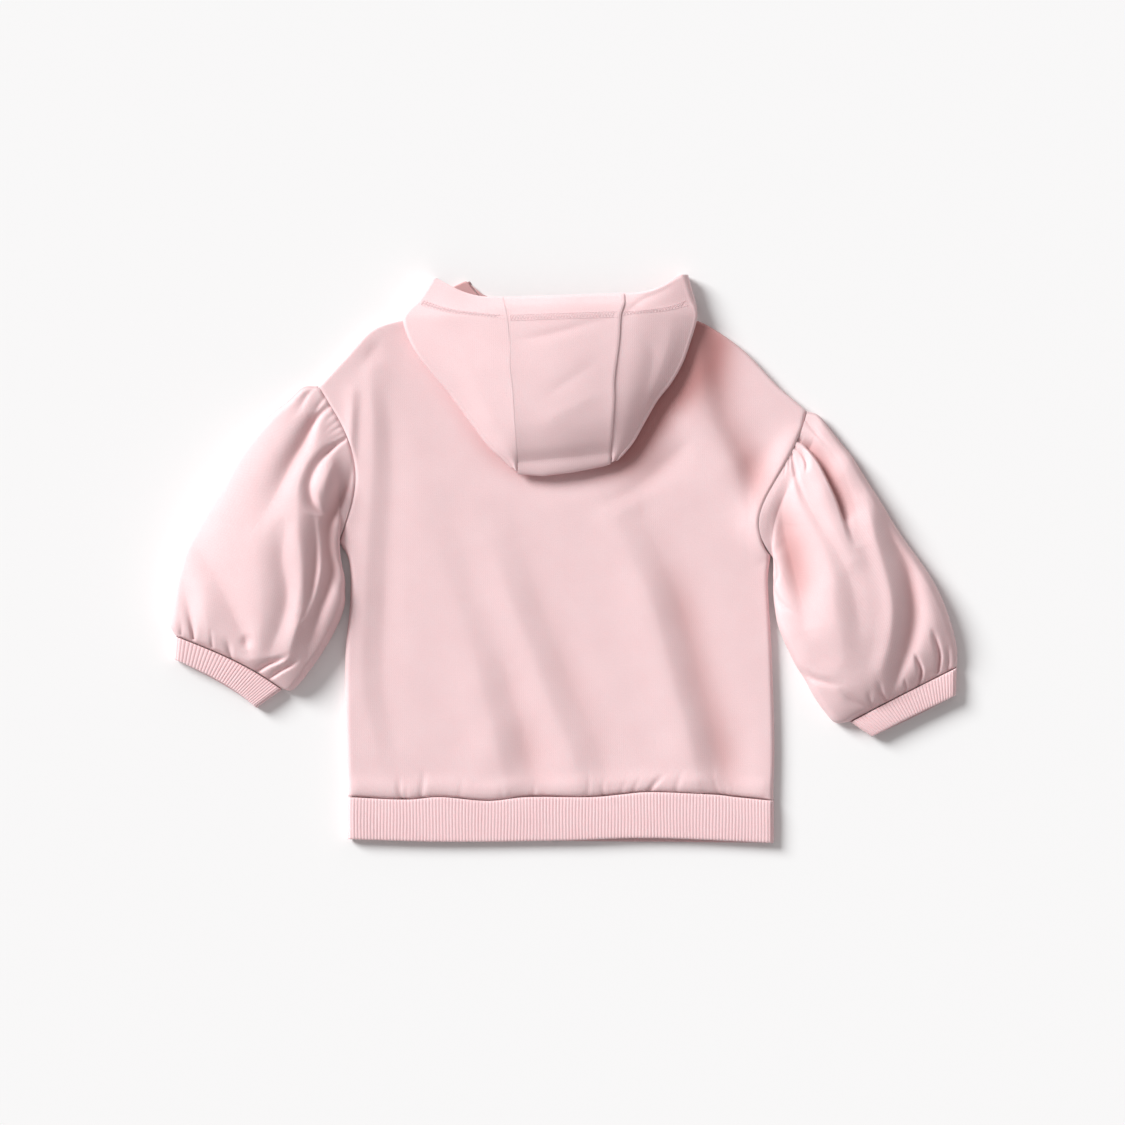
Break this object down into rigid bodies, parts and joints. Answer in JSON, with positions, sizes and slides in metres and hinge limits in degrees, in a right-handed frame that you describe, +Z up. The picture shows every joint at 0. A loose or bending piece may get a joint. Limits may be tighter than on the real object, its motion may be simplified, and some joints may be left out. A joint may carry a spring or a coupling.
{
  "type": "zip-up hoodie",
  "caption": "Child's zip-up hoodie with balloon sleeves gathered at cap and cuff, rib-knit cuffs and hem, and a dropped panelled hood, laid face down and flat.",
  "frame": {"origin": "centre of the bounding box, on the surface the garment lies on", "axes": "+X from the left sleeve to the right sleeve as seen from above, +Y from the hem to the hood, +Z up from the surface, out of the garment's back"},
  "size_m": [0.629, 0.454, 0.0366],
  "materials": {
    "fleece": "brushed sweatshirt knit, smooth outside, matt",
    "rib_knit": "one-by-one rib knit, matt",
    "zip_tape": "woven tape",
    "zip_nylon": "nylon coil",
    "zip_metal": "satin nickel plate"
  },
  "bodies": {
    "garment": {"back_panel": "fleece", "front_left": "fleece", "front_right": "fleece", "sleeve_left": "fleece", "sleeve_right": "fleece", "hood_centre": "fleece", "hood_left": "fleece", "hood_right": "fleece", "cuff_left": "rib_knit", "cuff_right": "rib_knit", "hem_band": "rib_knit", "zip_tape_left": "zip_tape", "zip_tape_right": "zip_tape", "zip_chain": "zip_nylon", "zip_slider": "zip_metal"},
    "pull_tab": {"zip_pull": "zip_metal"}
  },
  "joints": [
    {"name": "pull_tab_hinge", "type": "hinge", "parent": "garment", "child": "pull_tab", "pos_m": [-0.006, 0.131, 0.00185], "axis": [1, 0, 0], "range_deg": [0, 165]}
  ]
}
